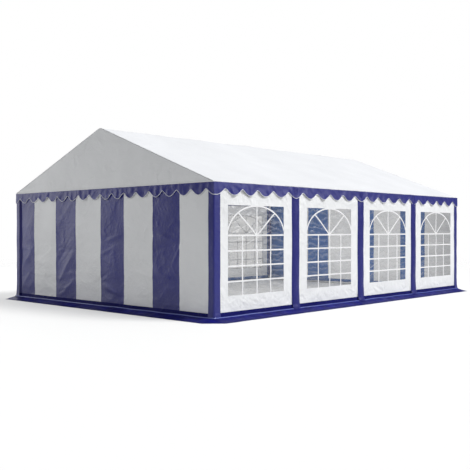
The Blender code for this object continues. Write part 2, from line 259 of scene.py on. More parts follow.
def window_film(name):
    """Clear flexible film with soft crumples, painted paler where they would reflect the sky, and a few straight
    creases that are paler and less clear.
    """
    made, tree, shader, place = new_material(name)
    shader.inputs["Roughness"].default_value = 0.16
    shader.inputs["Specular IOR Level"].default_value = 1.0
    shader.inputs["Coat Weight"].default_value = 1.0
    shader.inputs["Coat Roughness"].default_value = 0.08
    waves = wave_lines(tree, place, "Z", {"Scale": 3.2, "Distortion": 9.0, "Detail": 2.0, "Detail Scale": 1.6})
    streaks = film_streaks(tree, place)
    # Painted reflection: the film is paler and less clear where it is crumpled, for the sky seen in its crumples; the
    # straight creases are paler still
    for channel, clear, crumple_reflection, creased in (("Base Color", 0.17, 0.42, 0.74), ("Alpha", 0.36, 0.43, 0.54)):
        soft = grey_ramp(tree, waves, 0.72, 1.0, clear, crumple_reflection)
        sharp = grey_ramp(tree, streaks, 0.0, 1.0, 0.0, creased)
        tree.links.new(combined(tree, "MAXIMUM", soft, sharp), shader.inputs[channel])
    normal = bump_layer(tree, creases(tree, place, 4.0, 2.0, 1.0), 0.22, 0.010)
    normal = bump_layer(tree, waves, 0.35, 0.006, normal)
    tree.links.new(normal, shader.inputs["Normal"])
    tree.links.new(normal, shader.inputs["Coat Normal"])
    return made


def plain_plastic(name, colour, roughness, alpha=1.0):
    """Smooth welded strip or piping, with a slight unevenness. It lets light through where its alpha is below 1."""
    made, tree, shader, place = new_material(name)
    mottled(tree, place, shader, colour, 0.02, 6.0)
    shader.inputs["Roughness"].default_value = roughness
    shader.inputs["Alpha"].default_value = alpha
    normal = bump_layer(tree, creases(tree, place, 30.0), 0.2, 0.001)
    tree.links.new(normal, shader.inputs["Normal"])
    return made


def galvanised_steel(name):
    """Zinc-coated tube: a soft spangle in its shade."""
    made, tree, shader, place = new_material(name)
    spangle = node(tree, "ShaderNodeTexVoronoi")
    spangle.inputs["Scale"].default_value = 70.0
    tree.links.new(place, spangle.inputs["Vector"])
    ramp = node(tree, "ShaderNodeValToRGB")
    ramp.color_ramp.elements[0].color = (0.60, 0.61, 0.63, 1.0)
    ramp.color_ramp.elements[1].color = (0.74, 0.75, 0.77, 1.0)
    tree.links.new(spangle.outputs["Distance"], ramp.inputs["Fac"])
    tree.links.new(ramp.outputs["Color"], shader.inputs["Base Color"])
    shader.inputs["Metallic"].default_value = 0.55
    shader.inputs["Roughness"].default_value = 0.42
    return made


STREAK_SLOPE = math.radians(20)
UP_AND_ALONG = ((1, 1, 0), (0, 0, 1))
LYING = ((1, 0, 0), (0, 1, 0))
ROOF_WHITE = coated_fabric("roof_white", (0.77, 0.78, 0.80), 0.60, 0.6, LYING, 0.03, 0.3)
WALL_WHITE = coated_fabric("wall_white", (0.85, 0.86, 0.87), 0.45, 1.0, UP_AND_ALONG)
# Its blue spreads widely in patches: a little is the cloth's uneven tone, most is a painted sheen for the shiny
# cupped lobes
VALANCE_BLUE = coated_fabric("valance_blue", (0.022, 0.024, 0.200), 0.31, 0.8, UP_AND_ALONG, 0.34, 0.66, 4.0)
WALL_BLUE = coated_fabric("wall_blue", (0.013, 0.016, 0.190), 0.36, 0.8, UP_AND_ALONG, 0.08, 0.70)
COVER_BLUE = coated_fabric("cover_blue", (0.010, 0.012, 0.165), 0.36, 1.0, UP_AND_ALONG, 0.08, 0.45)
# Its blue spreads widely in small patches: a little is the cloth's uneven tone, most is a painted sheen for the
# flaps' glossy streaks
FLAP_BLUE = coated_fabric("flap_blue", (0.005, 0.006, 0.135), 0.50, 1.3, LYING, 0.40, 0.12, 5.0)
# Painted highlight: the bead's blue is much lighter than the flaps' and stands in for the light along the crease
BEAD_PAINTED_HIGHLIGHT_BLUE = coated_fabric("bead_painted_highlight", (0.075, 0.100, 0.360), 0.25, 0.6, LYING, 0.08, 1.0)
# Painted shade: a darker blue for the shade in the recess at the walls' foot and under the flaps' outer edge
BAND_PAINTED_SHADE_BLUE = coated_fabric("band_painted_shade", (0.005, 0.006, 0.115), 0.55, 1.3, UP_AND_ALONG, 0.08, 0.12)
INNER_WHITE = coated_fabric("inner_white", (0.80, 0.80, 0.80), 0.55, 0.7, UP_AND_ALONG)
# The inner side of the blue cloth: its own blue, painted lighter and greener as the daylight that shines through it
# from outside
INNER_BLUE_PAINTED_BACKLIGHT = coated_fabric("inner_blue_painted_backlight", (0.020, 0.105, 0.340), 0.60, 0.7, UP_AND_ALONG, 0.05, 0.2)
FILM = window_film("window_film")
BAR_WHITE = plain_plastic("bar_white", (0.93, 0.93, 0.94), 0.35, 0.93)
WELT_WHITE = plain_plastic("welt_white", (0.90, 0.90, 0.91), 0.35)
PIPING_WHITE = plain_plastic("piping_white", (0.80, 0.81, 0.84), 0.35)
STEEL = galvanised_steel("galvanised_steel")


# Sheets

def ticks(spacing, *marks):
    """Grid lines through all the marks, evenly spaced between them and no further apart than spacing."""
    lines = []
    for start, end in zip(marks, marks[1:]):
        steps = max(1, math.ceil((end - start) / spacing - 1e-6))
        lines += [start + (end - start) * i / steps for i in range(steps)]
    return np.array([*lines, marks[-1]])


def as_object(name, mesh, skins, replaced):
    piece = bpy.data.objects.new(name, mesh)
    bpy.context.scene.collection.objects.link(piece)
    for skin in skins:
        mesh.materials.append(skin)
    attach(piece, "root")
    if replaced:
        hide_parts(*replaced)
    return piece


def cloth(name, us, vs, place, skins, replaced=(), kept=None, painted=None, thickness=CLOTH):
    """A sheet over the grid of us by vs, where place(u, v) gives its outer face.

    The skins are the outer and the inner side's, then those of the cells where painted(u, v) is true.
    Only the cells where kept(u, v) is true are made.
    """
    u, v = np.meshgrid(us, vs)
    points = np.stack(np.broadcast_arrays(*place(u, v)), axis=-1).reshape(-1, 3)
    corner = (np.arange(len(vs) - 1)[:, None] * len(us) + np.arange(len(us) - 1)).ravel()
    quads = np.stack([corner, corner + 1, corner + len(us) + 1, corner + len(us)], axis=-1)
    middles = np.meshgrid((us[:-1] + us[1:]) / 2, (vs[:-1] + vs[1:]) / 2)
    paint = painted(*middles).ravel() if painted else np.zeros(len(quads), bool)
    if kept:
        there = kept(*middles).ravel()
        quads, paint = quads[there], paint[there]
    used, quads = np.unique(quads, return_inverse=True)
    mesh = bpy.data.meshes.new(name)
    mesh.from_pydata(points[used].tolist(), [], quads.reshape(-1, 4).tolist())
    mesh.polygons.foreach_set("material_index", 2 * paint.astype(np.int32))
    work = bmesh.new()
    work.from_mesh(mesh)
    bmesh.ops.remove_doubles(work, verts=work.verts, dist=0.00005)
    for face in work.faces:
        face.smooth = True
    for edge in work.edges:
        edge.smooth = not edge.is_boundary
    work.to_mesh(mesh)
    work.free()
    piece = as_object(name, mesh, skins, replaced)
    if thickness:
        solid = piece.modifiers.new("thickness", "SOLIDIFY")
        solid.thickness = thickness
        solid.offset = -1.0
        solid.material_offset = 1
    return piece


def billow(a, z, seed, length, height):
    """Soft waves in all directions, about length from crest to crest."""
    random = np.random.default_rng(seed)
    waves = 7
    total = 0.0
    for _ in range(waves):
        turn, phase = random.uniform(0, 2 * math.pi, 2)
        pitch = length * random.uniform(0.7, 1.5)
        total = total + np.sin(2 * math.pi * (a * math.cos(turn) + z * math.sin(turn)) / pitch + phase)
    return height * total / math.sqrt(waves)


def fold(a, z, start, end, width, height):
    """A ridge from start to end, steeper on one side, that fades out at both ends."""
    run_a, run_z = end[0] - start[0], end[1] - start[1]
    length = math.hypot(run_a, run_z)
    along = ((a - start[0]) * run_a + (z - start[1]) * run_z) / length ** 2
    across = ((a - start[0]) * run_z - (z - start[1]) * run_a) / length
    spread = np.where(across > 0, width, 0.5 * width)
    inside = np.sin(math.pi * np.clip(along, 0, 1)) ** 0.8
    return height * np.exp(-np.abs(across / spread) ** 1.6) * inside


def folded(a, z, folds):
    return sum((fold(a, z, *each) for each in folds), 0.0 * a * z)


def crumples(seed, low, high, count, lengths, widths, heights, lean=0.8):
    """Random folds over the rectangle from low to high, most of them leaning about 45 degrees to either side."""
    random = np.random.default_rng(seed)
    made = []
    for _ in range(count):
        start = random.uniform(low, high)
        way = random.choice((-1, 1)) * random.normal(lean, 0.35)
        length = random.uniform(*lengths)
        end = start + length * np.array((math.cos(way), math.sin(way)))
        made.append((start, end, random.uniform(*widths), random.choice((-1, 1)) * random.uniform(*heights)))
    return made


def easing(distance, reach):
    """0 at an edge that is held, rising to 1 at reach from it."""
    share = np.clip(distance / reach, 0, 1)
    return share * share * (3 - 2 * share)


def ridge_line(distance, width, height):
    """A low flat-topped ridge, as of a welded lap or a hem."""
    return height * np.exp(-(distance / width) ** 4)


# Roof

def roof_place(x, s):
    """The canopy at x along the tent and s across it, from -1 at the front eave to 1 at the back one."""
    y = s * HALF_WIDTH
    rounding = 0.03
    z = RIDGE_Z - SLOPE * (np.sqrt(y ** 2 + rounding ** 2) - rounding * 0.6)
    down = 1 - np.abs(s)
    bay_share = np.abs((x + HALF_LENGTH) % BAY - BAY / 2) / (BAY / 2)
    taut = np.sin(math.pi * np.clip(down, 0, 1)) ** 0.8
    sag = 0.016 * (1 - bay_share ** 2) * taut
    long_folds = []
    random = np.random.default_rng(11)
    for side in (-1, 1):
        for i in range(9):
            x0 = -HALF_LENGTH - 1.5 + 1.05 * i + random.uniform(-0.2, 0.2)
            s0, s1 = side * random.uniform(0.05, 0.2), side * random.uniform(0.7, 0.95)
            long_folds.append(((x0, s0 * 3), (x0 + random.uniform(3.0, 4.2), s1 * 3), 0.14, 0.010))
    relief = folded(x, 3 * s, long_folds) + billow(x, 3 * s, 3, 1.1, 0.003)
    fine = folded(x, 3 * s, crumples(5, (-4, -3), (4, 3), 90, (0.4, 1.2), (0.03, 0.07), (0.001, 0.004), 0.4))
    held = easing(down * HALF_WIDTH, 0.25)
    seams = sum(ridge_line(x - seam, 0.02, 0.0012) for seam in (-BAY, 0.0, BAY))
    return x, y, z - sag + (relief + fine) * held * easing(HALF_LENGTH - np.abs(x), 0.2) + seams


def make_roof():
    marks = [-HALF_LENGTH]
    for seam in (-BAY, 0.0, BAY):
        marks += [seam - 0.03, seam - 0.018, seam + 0.018, seam + 0.03]
    xs = ticks(0.042, *marks, HALF_LENGTH)
    ss = ticks(0.042 / HALF_WIDTH, -1.0, -0.02, 0.0, 0.02, 1.0)
    nodes = ("roof_slope_front", "roof_slope_back")
    canopy = cloth("roof_canopy", xs, ss, roof_place, (ROOF_WHITE, INNER_WHITE), nodes)


def make_gable_triangles():
    for seed, wall in enumerate(("west", "east"), start=21):
        def place(a, t):
            top = RIDGE_Z - 0.004 - SLOPE * np.abs(a)
            z = EAVE_Z - 0.004 + t * (top - EAVE_Z + 0.004)
            edge = np.minimum(top - z, z - EAVE_Z + 0.01)
            folds = crumples(seed, (-2.4, EAVE_Z), (2.4, EAVE_Z + 0.9), 60, (0.2, 0.7), (0.02, 0.05), (0.002, 0.006))
            relief = billow(a, z, seed, 0.8, 0.004) + folded(a, z, folds)
            return on_wall(wall, a, z, -0.004 + relief * easing(edge, 0.15))
        spots = ticks(0.03, -HALF_WIDTH + 0.004, 0.0, HALF_WIDTH - 0.004)
        node_name = f"gable_triangle_{wall}"
        piece = cloth(f"gable_cloth_{wall}", spots, ticks(1 / 30, 0.0, 1.0), place,
                      (WALL_WHITE, INNER_WHITE), (node_name,))


# Valances

def scallop_depth(wall, a):
    """How far a valance hangs at a: low at the corners and posts, and nearly pointed where it is high."""
    pitch = 2 * WALLS[wall]["half"] / SCALLOPS[wall]
    from_corner = WALLS[wall]["half"] - np.abs(a)
    from_corner = np.maximum(from_corner - CORNER_LOBE[wall] * (1 - easing(from_corner - 0.45, 0.7)), 0)
    swing = np.cos(math.pi * from_corner / pitch)
    low = math.sqrt(1 + PEAK_ROUNDING ** 2) - PEAK_ROUNDING
    share = (np.sqrt(swing ** 2 + PEAK_ROUNDING ** 2) - PEAK_ROUNDING) / low
    return VALANCE_HIGH + (VALANCE_LOW - VALANCE_HIGH) * share


def valance_place(wall, seed, a, t):
    """The valance at a along its wall and t down it, from 0 at the roof to 1 at the scalloped edge."""
    half = WALLS[wall]["half"]
    pitch = 2 * half / SCALLOPS[wall]
    z = EAVE_Z - 0.001 - t * scallop_depth(wall, a)
    lobe = 0.5 + 0.5 * np.cos(2 * math.pi * (a + half) / pitch)
    flare = 0.003 * t ** 1.5 + 0.004 * lobe * t ** 2
    waves = billow(a, 0 * z, seed, 0.45, 0.0040) * t + billow(a, 1.2 * z, seed + 1, 0.17, 0.0062) * t ** 0.6
    ends = easing(half - np.abs(a), 0.12)
    out = 0.001 + (flare + np.maximum(waves, -0.004)) * (0.2 + 0.8 * ends)
    return on_wall(wall, a * (1 + out / half), z, out)


def make_valances():
    for seed, wall in enumerate(WALLS, start=31):
        half = WALLS[wall]["half"]
        spots = ticks(0.02, -half, half)
        if wall in ("front", "back"):
            spots = ticks(0.02, *[-half + half * i / SCALLOPS[wall] for i in range(2 * SCALLOPS[wall] + 1)])
        piece = cloth(f"scalloped_valance_{wall}", spots, ticks(0.11, 0.0, 1.0),
                      lambda a, t: valance_place(wall, seed, a, t), (VALANCE_BLUE, WALL_BLUE),
                      (f"valance_{wall}",))
        edge = np.stack(np.broadcast_arrays(*valance_place(wall, seed, spots, np.ones_like(spots))), axis=-1)
        piping = tube(f"valance_piping_{wall}", edge, PIPING_RADIUS, PIPING_WHITE)


def tube(name, path, radius, skin, closed=False):
    """A round cord or bar along the points of its path."""
    curve = bpy.data.curves.new(name, "CURVE")
    curve.dimensions = "3D"
    curve.bevel_depth = radius
    curve.bevel_resolution = 2
    curve.use_fill_caps = True
    spline = curve.splines.new("POLY")
    spline.points.add(len(path) - 1)
    for point, place in zip(spline.points, path):
        point.co = (*place, 1.0)
    spline.use_smooth = True
    spline.use_cyclic_u = closed
    return as_object(name, curve, (skin,), ())


# Gable walls

def gable_relief(wall, seed, a, z):
    """How far a gable wall stands out of its plane, with the folds that its weight and its ties pull in it."""
    half = HALF_WIDTH
    relief = billow(a, z, seed, 0.9, 0.006) + billow(a * 0.6, z, seed + 1, 0.30, 0.0016)
    folds = crumples(seed + 2, (-half, 0.2), (half, 1.3), 34, (0.3, 0.9), (0.025, 0.050), (0.002, 0.006), 0.40)
    relief = relief + folded(a, z, folds)
    small = crumples(seed + 3, (-half, 0.1), (half, 2.0), 240, (0.08, 0.3), (0.014, 0.028), (0.0012, 0.0032), 0.25)
    relief = relief + folded(a, z, small) + folded(a, z, DRAGS[wall])
    held = easing(z - CREASE_Z, 0.12) * easing(PANEL_TOP - z, 0.3) * easing(half - 0.10 - np.abs(a), 0.10)
    seams = sum(ridge_line(a - seam, 0.012, 0.0010) for seam in stripe_marks(wall))
    pleat = PLEAT_DEPTH * np.exp(-((a - PLEAT_PLACE) / PLEAT_WIDTH) ** 4) if wall == "west" else 0.0
    return WALL_OUT + relief * (0.1 + 0.9 * held) + seams - pleat


# Long folds that show in the photograph's gable wall, each from its start to its end, with its width and height
DRAGS = {
    "west": (
        ((-2.78, 0.45), (-2.20, 1.10), 0.09, 0.009),
        ((-2.75, 0.95), (-2.22, 1.75), 0.08, 0.006),
        ((-2.70, 0.20), (-2.25, 0.62), 0.07, 0.006),
        ((-1.40, 0.30), (-0.80, 1.05), 0.09, 0.012),
        ((-1.38, 0.75), (-0.85, 1.35), 0.07, -0.006),
        ((-1.30, 0.15), (-0.70, 0.55), 0.07, 0.009),
        ((-1.38, 1.45), (-0.85, 2.00), 0.07, 0.006),
        ((0.05, 0.45), (0.60, 0.25), 0.06, 0.014),
        ((0.10, 1.20), (0.60, 1.32), 0.05, 0.010),
        ((1.45, 0.75), (2.00, 0.55), 0.06, 0.014),
        ((1.50, 1.35), (2.00, 1.22), 0.05, 0.010),
    ),
    "east": (),
}

# The pleat where the west wall turns in beside its far corner cover
PLEAT_PLACE = -2.69
PLEAT_WIDTH = 0.034
PLEAT_DEPTH = 0.045


def stripe_marks(wall):
    """Where the stripes of a gable wall change, from left to right as seen from outside.

    The east wall's are the west wall's seen from inside, and hang a little towards the back.
    """
    marks = [-2 * WHITE_STRIPE - BLUE_STRIPE, -WHITE_STRIPE - BLUE_STRIPE, -WHITE_STRIPE, 0.0,
             BLUE_STRIPE, BLUE_STRIPE + WHITE_STRIPE, 2 * BLUE_STRIPE + WHITE_STRIPE]
    return marks if wall == "west" else sorted(EAST_SHIFT - mark for mark in marks)


def make_gable_walls():
    end = HALF_WIDTH - 0.04
    for seed, wall, portal in ((41, "west", "frame_portal_1"), (51, "east", "frame_portal_5")):
        marks = [-end, *stripe_marks(wall), end]
        blue_first = wall == "west"
        for half, low, high in (("left", 0, 4), ("right", 4, 8)):
            across = []
            for mark in marks[low:high + 1]:
                across += [mark - 0.014, mark, mark + 0.014]
            if wall == "west" and half == "left":
                across[3:3] = [PLEAT_PLACE + share * PLEAT_WIDTH for share in (-1.3, -1, -0.7, 0.7, 1, 1.3)]
            spots = ticks(0.022, *across[1:-1])
            heights = ticks(0.022, CREASE_Z + 0.001, GABLE_BAND_TOP, HEM_BOTTOM, PANEL_TOP)
            side = "back" if (half == "left") == (wall == "west") else "front"
            for colour in ("blue", "white"):
                def kept(a, z):
                    number = np.searchsorted(marks, a) - 1
                    blue = (number % 2 == 0) == blue_first
                    blue = np.where(z < GABLE_BAND_TOP, True, np.where(z > HEM_BOTTOM, False, blue))
                    return blue if colour == "blue" else ~blue
                def place(a, z):
                    return on_wall(wall, a, z, gable_relief(wall, seed, a, z))
                skins = (WALL_WHITE, INNER_WHITE)
                if colour == "blue":
                    skins = (WALL_BLUE, INNER_BLUE_PAINTED_BACKLIGHT, BAND_PAINTED_SHADE_BLUE, INNER_BLUE_PAINTED_BACKLIGHT)
                node_name = f"gable_wall_{wall}_{side}_{colour}"
                # The blue sheets' band below GABLE_BAND_TOP gets the darker blue of painted shade at the wall's foot
                piece = cloth(f"striped_{wall}_{side}_{colour}", spots, heights, place, skins,
                              (node_name,), kept, lambda a, z: (z < GABLE_BAND_TOP) & (colour == "blue"))


# Long walls

def panel_relief(wall, bay, a, z):
    """How far a window panel stands out of its plane. a is measured from the panel's middle."""
    seed = 100 + 10 * bay + (0 if wall == "front" else 50)
    half = BAY / 2
    relief = billow(a, z, seed, 0.7, 0.0030) + billow(a, z, seed + 5, 0.09, 0.0006)
    folds = crumples(seed + 1, (-half, PANEL_BOTTOM), (half, 0.36), 60, (0.12, 0.4), (0.012, 0.024), (0.003, 0.008))
    folds += crumples(seed + 2, (-half, 0.3), (-0.7, 2.0), 40, (0.1, 0.4), (0.012, 0.022), (0.003, 0.006), 1.1)
    folds += crumples(seed + 3, (0.7, 0.3), (half, 2.0), 40, (0.1, 0.4), (0.012, 0.022), (0.003, 0.006), 1.1)
    folds += crumples(seed + 4, (-half, 1.78), (half, 2.1), 44, (0.1, 0.35), (0.012, 0.022), (0.003, 0.007), 0.9)
    relief = relief + folded(a, z, folds)
    held = easing(z - PANEL_BOTTOM - 0.004, 0.05) * easing(half - 0.11 - np.abs(a), 0.06)
    in_a = np.abs(a) - WINDOW_WIDTH / 2
    in_z = np.maximum(WINDOW_SILL - z, z - WINDOW_HEAD)
    beside_window = np.maximum(in_a, in_z)
    calm = 0.35 + 0.65 * easing(np.abs(beside_window), 0.12)
    weld = ridge_line(beside_window - 0.014, 0.014, 0.0012)
    return WALL_OUT + relief * (0.05 + 0.95 * held) * calm + weld


def film_relief(wall, bay, a, z):
    """How far a window's film stands out of the wall's plane."""
    seed = 200 + 10 * bay + (0 if wall == "front" else 50)
    rim = np.minimum(WINDOW_WIDTH / 2 - np.abs(a), np.minimum(z - WINDOW_SILL, WINDOW_HEAD - z))
    free = easing(rim, 0.2)
    folds = crumples(seed, (-0.68, 0.4), (0.68, 1.75), 46, (0.1, 0.5), (0.016, 0.035), (0.001, 0.004))
    return WALL_OUT - 0.004 + (billow(a, z, seed, 0.45, 0.003) + folded(a, z, folds)) * free


def bay_number(wall, bay):
    """The bay's number in the nodes' names, which run from the west end on both walls."""
    return bay + 1 if wall == "front" else BAYS - bay


def make_panel(wall, bay):
    middle = -HALF_LENGTH + BAY * (bay + 0.5)
    half = BAY / 2 - 0.003
    left = -half + (PANEL_END if bay == 0 else 0)
    right = half - (PANEL_END if bay == BAYS - 1 else 0)
    window = WINDOW_WIDTH / 2
    spots = ticks(0.018, left, -window - 0.03, -window, window, window + 0.03, right)
    heights = ticks(0.018, PANEL_BOTTOM, WINDOW_SILL - 0.03, WINDOW_SILL, WINDOW_HEAD, WINDOW_HEAD + 0.03, HUNG_TOP)

    def place(a, z):
        return on_wall(wall, middle + a, z, panel_relief(wall, bay, a, z))

    def kept(a, z):
        return ~((np.abs(a) < window) & (z > WINDOW_SILL) & (z < WINDOW_HEAD))

    number = bay_number(wall, bay)
    piece = cloth(f"wall_panel_{wall}_{number}", spots, heights, place, (WALL_WHITE, INNER_WHITE),
                  (f"window_panel_{wall}_{number}",), kept)


def make_film(wall, bay):
    middle = -HALF_LENGTH + BAY * (bay + 0.5)
    reach = WINDOW_WIDTH / 2 + 0.02
    spots = ticks(0.025, -reach, reach)
    heights = ticks(0.025, WINDOW_SILL - 0.02, WINDOW_HEAD + 0.02)
    number = bay_number(wall, bay)
    piece = cloth(f"clear_window_{wall}_{number}", spots, heights,
                  lambda a, z: on_wall(wall, middle + a, z, film_relief(wall, bay, a, z)), (FILM,),
                  (f"window_film_{wall}",), thickness=0)
    bars = make_bars(wall, bay, middle, number)


def run_of(start, end, steps=40):
    """Points evenly along a straight run."""
    return [(start[0] + (end[0] - start[0]) * i / steps, start[1] + (end[1] - start[1]) * i / steps)
            for i in range(steps + 1)]


def bar_runs():
    """The middle lines of a window's bars: its arch, rays, uprights and cross bars."""
    window = WINDOW_WIDTH / 2
    turn = math.acos(window / ARCH_HALF_WIDTH)
    arch = [turn + (math.pi - 2 * turn) * i / 64 for i in range(65)]
    runs = [[(ARCH_HALF_WIDTH * math.cos(t), SPRING_Z + ARCH_HEIGHT * math.sin(t)) for t in arch]]
    runs += [run_of((0, SPRING_Z), (side * RAY_END[0], SPRING_Z + RAY_END[1])) for side in (-1, 1)]
    runs.append(run_of((0, WINDOW_SILL), (0, WINDOW_HEAD)))
    runs += [run_of((side * SIDE_BAR, WINDOW_SILL), (side * SIDE_BAR, SPRING_Z)) for side in (-1, 1)]
    runs += [run_of((-window, z), (window, z)) for z in (SPRING_Z, *CROSS_BARS)]
    return runs


def make_bars(wall, bay, middle, number):
    """White strips welded on a window's film, as one piece."""
    corners, quads = [], []
    for run in bar_runs():
        line = np.array(run)
        way = np.gradient(line, axis=0)
        way /= np.linalg.norm(way, axis=1)[:, None]
        beside = np.stack([-way[:, 1], way[:, 0]], axis=-1)
        for share in (-0.5, 0.0, 0.5):
            spots = line + beside * BAR_WIDTH * share
            out = film_relief(wall, bay, line[:, 0], line[:, 1]) + 0.003
            corners.append(np.stack(on_wall(wall, middle + spots[:, 0], spots[:, 1], out), axis=-1))
        count, first = len(run), sum(len(part) for part in corners[:-3])
        for strip in range(2):
            for i in range(count - 1):
                a = first + strip * count + i
                quads.append((a + 1, a, a + count, a + count + 1)[::-1])
    mesh = bpy.data.meshes.new(f"window_bars_{wall}_{number}")
    mesh.from_pydata(np.concatenate(corners).tolist(), [], quads)
    piece = as_object(f"window_bars_{wall}_{number}", mesh, (BAR_WHITE,), ())
    solid = piece.modifiers.new("thickness", "SOLIDIFY")
    solid.thickness = 0.0015
    solid.offset = 0.0
    return piece


def make_post_covers():
    for wall in ("front", "back"):
        for i in range(1, BAYS):
            middle = -HALF_LENGTH + BAY * i
            number = i if wall == "front" else BAYS - i
            seed = 300 + 10 * i + (0 if wall == "front" else 50)

            def place(a, z):
                share = 2 * a / POST_COVER_WIDTH
                bulge = 0.016 * (1 - share ** 2)
                foot = 0.010 * easing(0.40 - z, 0.30) + 0.020 * easing(0.15 - z, 0.10)
                waver = 0.004 * np.sin(z * 5.0 + seed)
                relief = billow(a, z, seed, 0.35, 0.0018)
                return on_wall(wall, middle + a + waver, z, WALL_OUT + 0.003 + bulge + foot + relief)

            spots = ticks(0.012, -POST_COVER_WIDTH / 2, POST_COVER_WIDTH / 2)
            heights = ticks(0.025, CREASE_Z + 0.002, PANEL_TOP)
            piece = cloth(f"cover_{wall}_{number}", spots, heights, place, (COVER_BLUE, INNER_BLUE_PAINTED_BACKLIGHT),
                          (f"post_cover_{wall}_{number}",))


def make_corner_covers():
    """A strip folded round each corner, its fold rounded by the post."""
    x_out, y_out = HALF_LENGTH - 0.002, HALF_WIDTH - 0.002
    flat_x = CORNER_LONG_SIDE - CORNER_RADIUS
    flat_y = CORNER_GABLE_SIDE - CORNER_RADIUS
    turn = math.pi / 2 * CORNER_RADIUS
    for y_name, y_side in (("front", -1), ("back", 1)):
        for x_name, x_side in (("west", -1), ("east", 1)):
            seed = 400 + 20 * (x_side + 1) + 5 * (y_side + 1)

            def place(u, z):
                angle = np.clip(u / CORNER_RADIUS, 0, math.pi / 2)
                x = x_out - CORNER_RADIUS + CORNER_RADIUS * np.sin(angle) + np.minimum(u, 0)
                y = y_out - CORNER_RADIUS + CORNER_RADIUS * np.cos(angle) - np.maximum(u - turn, 0)
                foot = 0.006 * easing(0.40 - z, 0.30) + 0.010 * easing(0.15 - z, 0.10)
                out = billow(u, z, seed, 0.4, 0.0015) + foot
                return x_side * (x + out * np.sin(angle)), y_side * (y + out * np.cos(angle)), z

            ways = ticks(0.008, -flat_x, 0.0, turn, turn + flat_y)
            if x_side * y_side > 0:
                ways = ways[::-1]
            heights = ticks(0.03, CREASE_Z + 0.002, PANEL_TOP)
            name = f"{y_name}_{x_name}"
            piece = cloth(f"corner_{name}", ways, heights, place, (WALL_BLUE, INNER_BLUE_PAINTED_BACKLIGHT),
                          (f"corner_cover_{name}",))


def make_post_sleeves():
    """A sleeve wrapped round each corner post, which shows through the windows."""
    turns = np.linspace(-math.pi, math.pi, 25)
    heights = ticks(0.03, SLEEVE_BOTTOM, SLEEVE_TOP)
    for seed, portal, x_name in ((481, "frame_portal_1", "west"), (491, "frame_portal_5", "east")):
        low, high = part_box(portal)
        middle_x = (low.x + high.x) / 2
        for y_name, y_side in (("front", -1), ("back", 1)):
            middle_y = y_side * (high.y - POST_RADIUS)

            def place(turn, z):
                radius = SLEEVE_RADIUS + 0.0008 * np.sin(3 * turn + seed) * np.sin(9 * z)
                return middle_x + radius * np.cos(turn), middle_y + radius * np.sin(turn), z

            piece = cloth(f"post_sleeve_{y_name}_{x_name}", turns, heights, place, (COVER_BLUE, INNER_BLUE_PAINTED_BACKLIGHT))


# Foot of the walls

def make_wall_bands():
    for wall, seed in (("front", 501), ("back", 511)):
        end = HALF_LENGTH - 0.012

        def place(a, z):
            up = np.clip((z - CREASE_Z) / (PANEL_BOTTOM - CREASE_Z), 0, 1)
            out = WALL_OUT + 0.004 + 0.006 * (1 - up) ** 2 + billow(a, z, seed, 0.3, 0.0022) * (1 - up) ** 0.5
            return on_wall(wall, a, z, out)

        top = PANEL_BOTTOM + 0.004
        # The band is all in the darker blue of painted shade, for its recess under the panels
        piece = cloth(f"band_{wall}", ticks(0.03, -end, end), ticks(0.012, CREASE_Z - 0.004, top), place,
                      (BAND_PAINTED_SHADE_BLUE, INNER_BLUE_PAINTED_BACKLIGHT), (f"wall_band_{wall}",))


def flap_height(share):
    """The height of a flap, rounded over the ground bar beside the wall and thin at its outer edge."""
    ridge = CREASE_Z + 0.003 - 0.003 * (share / 0.12 - 1) ** 2
    slope = (CREASE_Z + 0.003) * np.clip((1 - share) / 0.88, 0, 1) ** 1.2
    return np.where(share < 0.12, ridge, slope) + 0.002


def make_skirts():
    for seed, wall in enumerate(WALLS, start=521):
        side = WALLS[wall]
        long_side = wall in ("front", "back")
        other_out = FLAP_X if long_side else FLAP_Y
        end = side["half"] + WALL_OUT
        corner = other_out - side["half"] if long_side else 0.0
        reach = (FLAP_Y - HALF_WIDTH) if long_side else (FLAP_X - HALF_LENGTH)

        def place(u, t):
            """u runs along the wall, and past its end round the corner; t goes from the crease to the edge."""
            a = np.clip(u, -end, end)
            past = np.clip((np.abs(u) - end) / max(corner, 1e-9), 0, 1) if corner else 0 * u
            outwards = (reach - WALL_OUT) * (1 - past)
            sideways = np.sign(u) * (corner - WALL_OUT) * past
            ripple = billow(u, t * 0.2, seed, 0.22, 0.0035) * np.sin(math.pi * np.clip(t, 0, 1)) ** 0.7
            wave = billow(u, 0 * t, seed + 5, 0.5, 0.003) * t
            z = flap_height(t) + np.maximum(ripple, -0.8 * flap_height(t))
            return on_wall(wall, a + sideways * t, np.maximum(z, 0.0015), WALL_OUT + outwards * t + wave * (1 - past))

        marks = [-end - corner, -end, end, end + corner] if long_side else [-end + 0.001, end - 0.001]
        shares = ticks(0.06, 0.0, 0.06, 0.12, 0.2, FLAP_SHADED_EDGE, 1.0)[::-1]
        # The flap's outer edge is painted in the darker blue, as the shade under it
        piece = cloth(f"flap_{wall}", ticks(0.03, *marks), shares, place,
                      (FLAP_BLUE, INNER_BLUE_PAINTED_BACKLIGHT, BAND_PAINTED_SHADE_BLUE, INNER_BLUE_PAINTED_BACKLIGHT), (f"ground_skirt_{wall}",),
                      painted=lambda u, t: t > FLAP_SHADED_EDGE)


